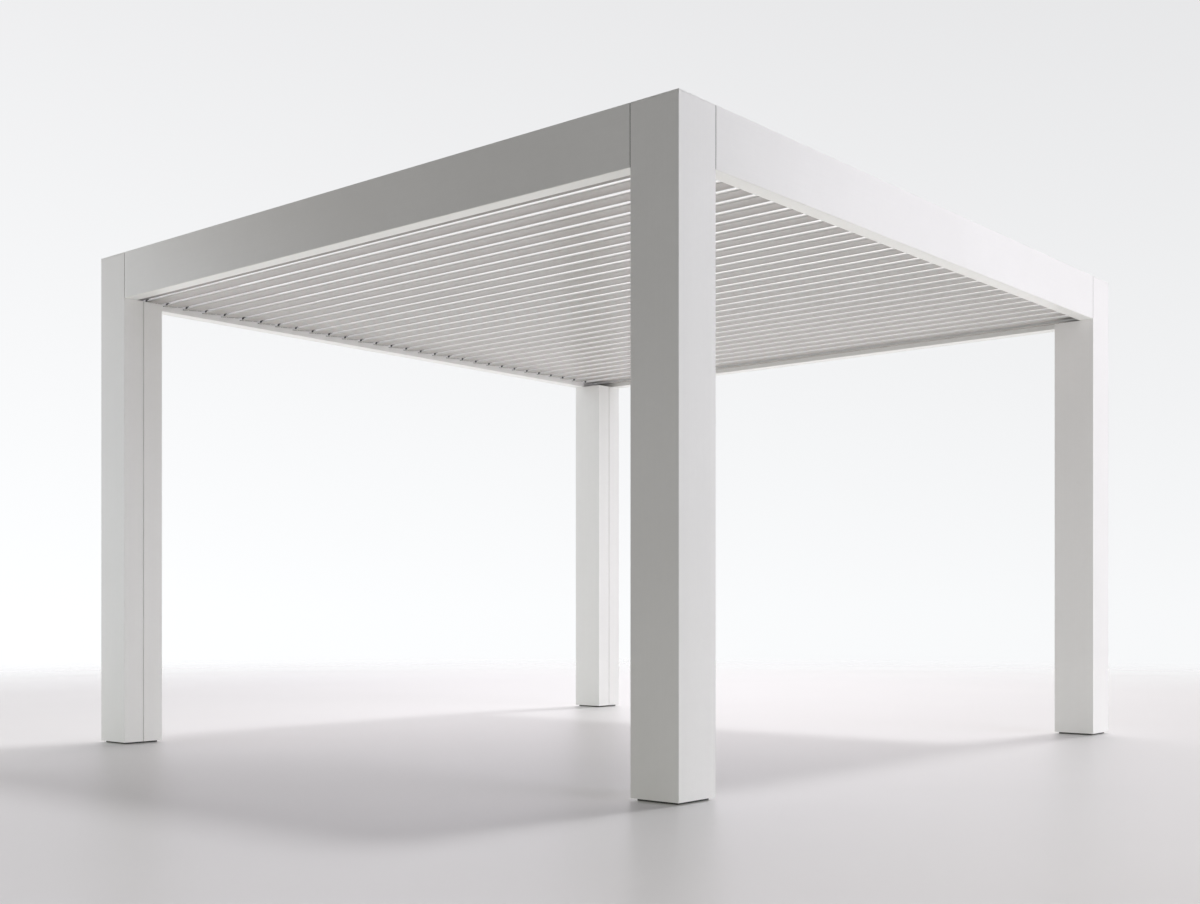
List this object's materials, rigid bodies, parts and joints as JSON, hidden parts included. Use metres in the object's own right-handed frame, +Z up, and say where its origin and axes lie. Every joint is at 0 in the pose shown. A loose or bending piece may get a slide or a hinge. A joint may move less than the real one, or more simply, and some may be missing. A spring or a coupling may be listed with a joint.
{
  "type": "louvred roof pergola",
  "caption": "Free-standing pergola: box posts, deep perimeter beams and a flat roof of hollow blades that tilt together on end pins.",
  "frame": {"origin": "on the floor, under the middle of the roof", "axes": "+Z up, X along the louvre blades, +Y from the front beam to the back beam"},
  "size_m": [4.13, 4.32, 2.75],
  "materials": {
    "post_skin": "white powder coat, fine satin texture",
    "beam_skin": "white powder coat, fine satin texture",
    "louvre_skin": "white powder coat, fine satin texture, with a warm light grey on the flat underside",
    "cap": "white powder coat, fine satin texture",
    "ledge": "white powder coat, fine satin texture, with a warm light grey on the flat underside",
    "foot_plate": "dark grey coated steel",
    "bush": "charcoal nylon"
  },
  "bodies": {
    "frame": {"front_right_post": "post_skin", "front_left_post": "post_skin", "back_right_post": "post_skin", "back_left_post": "post_skin", "foot_plates": "foot_plate", "post_caps": "cap", "front_beam": "beam_skin", "back_beam": "beam_skin", "left_beam": "beam_skin", "right_beam": "beam_skin", "front_closing_ledge": "ledge", "back_closing_ledge": "ledge", "pivot_bushes_left": "bush", "pivot_bushes_right": "bush"},
    "louvre_01": {"louvre_01": "louvre_skin"},
    "louvre_02": {"louvre_02": "louvre_skin"},
    "louvre_03": {"louvre_03": "louvre_skin"},
    "louvre_04": {"louvre_04": "louvre_skin"},
    "louvre_05": {"louvre_05": "louvre_skin"},
    "louvre_06": {"louvre_06": "louvre_skin"},
    "louvre_07": {"louvre_07": "louvre_skin"},
    "louvre_08": {"louvre_08": "louvre_skin"},
    "louvre_09": {"louvre_09": "louvre_skin"},
    "louvre_10": {"louvre_10": "louvre_skin"},
    "louvre_11": {"louvre_11": "louvre_skin"},
    "louvre_12": {"louvre_12": "louvre_skin"},
    "louvre_13": {"louvre_13": "louvre_skin"},
    "louvre_14": {"louvre_14": "louvre_skin"},
    "louvre_15": {"louvre_15": "louvre_skin"},
    "louvre_16": {"louvre_16": "louvre_skin"},
    "louvre_17": {"louvre_17": "louvre_skin"},
    "louvre_18": {"louvre_18": "louvre_skin"},
    "louvre_19": {"louvre_19": "louvre_skin"},
    "louvre_20": {"louvre_20": "louvre_skin"},
    "louvre_21": {"louvre_21": "louvre_skin"},
    "louvre_22": {"louvre_22": "louvre_skin"},
    "louvre_23": {"louvre_23": "louvre_skin"},
    "louvre_24": {"louvre_24": "louvre_skin"},
    "louvre_25": {"louvre_25": "louvre_skin"},
    "louvre_26": {"louvre_26": "louvre_skin"},
    "louvre_27": {"louvre_27": "louvre_skin"},
    "louvre_28": {"louvre_28": "louvre_skin"},
    "louvre_29": {"louvre_29": "louvre_skin"},
    "louvre_30": {"louvre_30": "louvre_skin"}
  },
  "joints": [
    {"name": "tilt_01", "type": "hinge", "parent": "frame", "child": "louvre_01", "pos_m": [0, -1.916, 2.537], "axis": [1, 0, 0], "range_deg": [-6, 84]},
    {"name": "tilt_02", "type": "hinge", "parent": "frame", "child": "louvre_02", "pos_m": [0, -1.783, 2.537], "axis": [1, 0, 0], "range_deg": [-6, 84]},
    {"name": "tilt_03", "type": "hinge", "parent": "frame", "child": "louvre_03", "pos_m": [0, -1.65, 2.537], "axis": [1, 0, 0], "range_deg": [-6, 84]},
    {"name": "tilt_04", "type": "hinge", "parent": "frame", "child": "louvre_04", "pos_m": [0, -1.517, 2.537], "axis": [1, 0, 0], "range_deg": [-6, 84]},
    {"name": "tilt_05", "type": "hinge", "parent": "frame", "child": "louvre_05", "pos_m": [0, -1.384, 2.537], "axis": [1, 0, 0], "range_deg": [-6, 84]},
    {"name": "tilt_06", "type": "hinge", "parent": "frame", "child": "louvre_06", "pos_m": [0, -1.251, 2.537], "axis": [1, 0, 0], "range_deg": [-6, 84]},
    {"name": "tilt_07", "type": "hinge", "parent": "frame", "child": "louvre_07", "pos_m": [0, -1.118, 2.537], "axis": [1, 0, 0], "range_deg": [-6, 84]},
    {"name": "tilt_08", "type": "hinge", "parent": "frame", "child": "louvre_08", "pos_m": [0, -0.985, 2.537], "axis": [1, 0, 0], "range_deg": [-6, 84]},
    {"name": "tilt_09", "type": "hinge", "parent": "frame", "child": "louvre_09", "pos_m": [0, -0.852, 2.537], "axis": [1, 0, 0], "range_deg": [-6, 84]},
    {"name": "tilt_10", "type": "hinge", "parent": "frame", "child": "louvre_10", "pos_m": [0, -0.719, 2.537], "axis": [1, 0, 0], "range_deg": [-6, 84]},
    {"name": "tilt_11", "type": "hinge", "parent": "frame", "child": "louvre_11", "pos_m": [0, -0.586, 2.537], "axis": [1, 0, 0], "range_deg": [-6, 84]},
    {"name": "tilt_12", "type": "hinge", "parent": "frame", "child": "louvre_12", "pos_m": [0, -0.453, 2.537], "axis": [1, 0, 0], "range_deg": [-6, 84]},
    {"name": "tilt_13", "type": "hinge", "parent": "frame", "child": "louvre_13", "pos_m": [0, -0.32, 2.537], "axis": [1, 0, 0], "range_deg": [-6, 84]},
    {"name": "tilt_14", "type": "hinge", "parent": "frame", "child": "louvre_14", "pos_m": [0, -0.187, 2.537], "axis": [1, 0, 0], "range_deg": [-6, 84]},
    {"name": "tilt_15", "type": "hinge", "parent": "frame", "child": "louvre_15", "pos_m": [0, -0.054, 2.537], "axis": [1, 0, 0], "range_deg": [-6, 84]},
    {"name": "tilt_16", "type": "hinge", "parent": "frame", "child": "louvre_16", "pos_m": [0, 0.079, 2.537], "axis": [1, 0, 0], "range_deg": [-6, 84]},
    {"name": "tilt_17", "type": "hinge", "parent": "frame", "child": "louvre_17", "pos_m": [0, 0.212, 2.537], "axis": [1, 0, 0], "range_deg": [-6, 84]},
    {"name": "tilt_18", "type": "hinge", "parent": "frame", "child": "louvre_18", "pos_m": [0, 0.345, 2.537], "axis": [1, 0, 0], "range_deg": [-6, 84]},
    {"name": "tilt_19", "type": "hinge", "parent": "frame", "child": "louvre_19", "pos_m": [0, 0.478, 2.537], "axis": [1, 0, 0], "range_deg": [-6, 84]},
    {"name": "tilt_20", "type": "hinge", "parent": "frame", "child": "louvre_20", "pos_m": [0, 0.611, 2.537], "axis": [1, 0, 0], "range_deg": [-6, 84]},
    {"name": "tilt_21", "type": "hinge", "parent": "frame", "child": "louvre_21", "pos_m": [0, 0.744, 2.537], "axis": [1, 0, 0], "range_deg": [-6, 84]},
    {"name": "tilt_22", "type": "hinge", "parent": "frame", "child": "louvre_22", "pos_m": [0, 0.877, 2.537], "axis": [1, 0, 0], "range_deg": [-6, 84]},
    {"name": "tilt_23", "type": "hinge", "parent": "frame", "child": "louvre_23", "pos_m": [0, 1.01, 2.537], "axis": [1, 0, 0], "range_deg": [-6, 84]},
    {"name": "tilt_24", "type": "hinge", "parent": "frame", "child": "louvre_24", "pos_m": [0, 1.143, 2.537], "axis": [1, 0, 0], "range_deg": [-6, 84]},
    {"name": "tilt_25", "type": "hinge", "parent": "frame", "child": "louvre_25", "pos_m": [0, 1.276, 2.537], "axis": [1, 0, 0], "range_deg": [-6, 84]},
    {"name": "tilt_26", "type": "hinge", "parent": "frame", "child": "louvre_26", "pos_m": [0, 1.409, 2.537], "axis": [1, 0, 0], "range_deg": [-6, 84]},
    {"name": "tilt_27", "type": "hinge", "parent": "frame", "child": "louvre_27", "pos_m": [0, 1.542, 2.537], "axis": [1, 0, 0], "range_deg": [-6, 84]},
    {"name": "tilt_28", "type": "hinge", "parent": "frame", "child": "louvre_28", "pos_m": [0, 1.675, 2.537], "axis": [1, 0, 0], "range_deg": [-6, 84]},
    {"name": "tilt_29", "type": "hinge", "parent": "frame", "child": "louvre_29", "pos_m": [0, 1.808, 2.537], "axis": [1, 0, 0], "range_deg": [-6, 84]},
    {"name": "tilt_30", "type": "hinge", "parent": "frame", "child": "louvre_30", "pos_m": [0, 1.941, 2.537], "axis": [1, 0, 0], "range_deg": [-6, 84]}
  ],
  "couplings": [
    {"joint": "tilt_02", "follows": "tilt_01", "ratio": 1},
    {"joint": "tilt_03", "follows": "tilt_01", "ratio": 1},
    {"joint": "tilt_04", "follows": "tilt_01", "ratio": 1},
    {"joint": "tilt_05", "follows": "tilt_01", "ratio": 1},
    {"joint": "tilt_06", "follows": "tilt_01", "ratio": 1},
    {"joint": "tilt_07", "follows": "tilt_01", "ratio": 1},
    {"joint": "tilt_08", "follows": "tilt_01", "ratio": 1},
    {"joint": "tilt_09", "follows": "tilt_01", "ratio": 1},
    {"joint": "tilt_10", "follows": "tilt_01", "ratio": 1},
    {"joint": "tilt_11", "follows": "tilt_01", "ratio": 1},
    {"joint": "tilt_12", "follows": "tilt_01", "ratio": 1},
    {"joint": "tilt_13", "follows": "tilt_01", "ratio": 1},
    {"joint": "tilt_14", "follows": "tilt_01", "ratio": 1},
    {"joint": "tilt_15", "follows": "tilt_01", "ratio": 1},
    {"joint": "tilt_16", "follows": "tilt_01", "ratio": 1},
    {"joint": "tilt_17", "follows": "tilt_01", "ratio": 1},
    {"joint": "tilt_18", "follows": "tilt_01", "ratio": 1},
    {"joint": "tilt_19", "follows": "tilt_01", "ratio": 1},
    {"joint": "tilt_20", "follows": "tilt_01", "ratio": 1},
    {"joint": "tilt_21", "follows": "tilt_01", "ratio": 1},
    {"joint": "tilt_22", "follows": "tilt_01", "ratio": 1},
    {"joint": "tilt_23", "follows": "tilt_01", "ratio": 1},
    {"joint": "tilt_24", "follows": "tilt_01", "ratio": 1},
    {"joint": "tilt_25", "follows": "tilt_01", "ratio": 1},
    {"joint": "tilt_26", "follows": "tilt_01", "ratio": 1},
    {"joint": "tilt_27", "follows": "tilt_01", "ratio": 1},
    {"joint": "tilt_28", "follows": "tilt_01", "ratio": 1},
    {"joint": "tilt_29", "follows": "tilt_01", "ratio": 1},
    {"joint": "tilt_30", "follows": "tilt_01", "ratio": 1}
  ]
}
